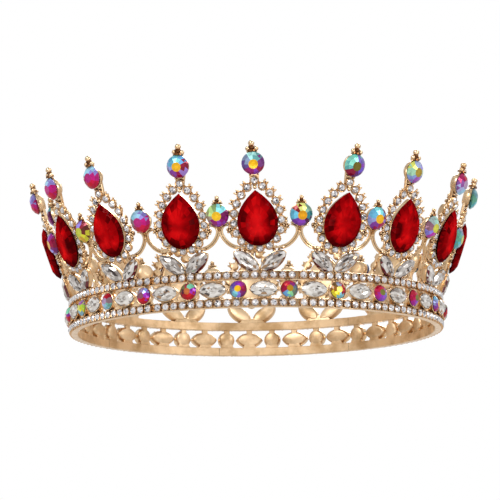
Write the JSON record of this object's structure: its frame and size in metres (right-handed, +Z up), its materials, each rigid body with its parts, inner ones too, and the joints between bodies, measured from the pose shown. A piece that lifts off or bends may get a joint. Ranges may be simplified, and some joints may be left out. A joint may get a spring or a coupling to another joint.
{
  "type": "crown",
  "caption": "Full-round costume crown in gilt cast sections, with red pear stones in rhinestone halos, iridescent round stones and a jewelled band.",
  "frame": {"origin": "middle of the ring, on the plane of the lower rail's underside that the crown stands on", "axes": "+Z up along the ring's axis; -Y is the front, where a peak stands; +X is to the viewer's right"},
  "size_m": [0.1836, 0.1836, 0.0625],
  "materials": {
    "rose_gold_plate": "polished champagne gold plate over a cast alloy",
    "red_glass": "faceted, foil-backed ruby red glass",
    "clear_glass": "faceted, foil-backed clear crystal, for the small stones that the castings carry",
    "iridescent_glass": "faceted red glass with an iridescent coating that shows yellow, cyan, violet and magenta"
  },
  "bodies": {
    "root": {"casting_1": "rose_gold_plate", "casting_2": "rose_gold_plate", "casting_3": "rose_gold_plate", "casting_4": "rose_gold_plate", "casting_5": "rose_gold_plate", "casting_6": "rose_gold_plate", "casting_7": "rose_gold_plate", "casting_8": "rose_gold_plate", "pear_stone_01": "red_glass", "pear_stone_02": "red_glass", "pear_stone_03": "red_glass", "pear_stone_04": "red_glass", "pear_stone_05": "red_glass", "pear_stone_06": "red_glass", "pear_stone_07": "red_glass", "pear_stone_08": "red_glass", "pear_stone_09": "red_glass", "pear_stone_10": "red_glass", "pear_stone_11": "red_glass", "pear_stone_12": "red_glass", "pear_stone_13": "red_glass", "pear_stone_14": "red_glass", "pear_stone_15": "red_glass", "pear_stone_16": "red_glass", "crest_stone_01": "iridescent_glass", "crest_stone_02": "iridescent_glass", "crest_stone_03": "iridescent_glass", "crest_stone_04": "iridescent_glass", "crest_stone_05": "iridescent_glass", "crest_stone_06": "iridescent_glass", "crest_stone_07": "iridescent_glass", "crest_stone_08": "iridescent_glass", "crest_stone_09": "iridescent_glass", "crest_stone_10": "iridescent_glass", "crest_stone_11": "iridescent_glass", "crest_stone_12": "iridescent_glass", "crest_stone_13": "iridescent_glass", "crest_stone_14": "iridescent_glass", "crest_stone_15": "iridescent_glass", "crest_stone_16": "iridescent_glass", "spire_stone_01": "iridescent_glass", "spire_stone_02": "iridescent_glass", "spire_stone_03": "iridescent_glass", "spire_stone_04": "iridescent_glass", "spire_stone_05": "iridescent_glass", "spire_stone_06": "iridescent_glass", "spire_stone_07": "iridescent_glass", "spire_stone_08": "iridescent_glass", "spire_stone_09": "iridescent_glass", "spire_stone_10": "iridescent_glass", "spire_stone_11": "iridescent_glass", "spire_stone_12": "iridescent_glass", "spire_stone_13": "iridescent_glass", "spire_stone_14": "iridescent_glass", "spire_stone_15": "iridescent_glass", "spire_stone_16": "iridescent_glass"}
  },
  "joints": []
}
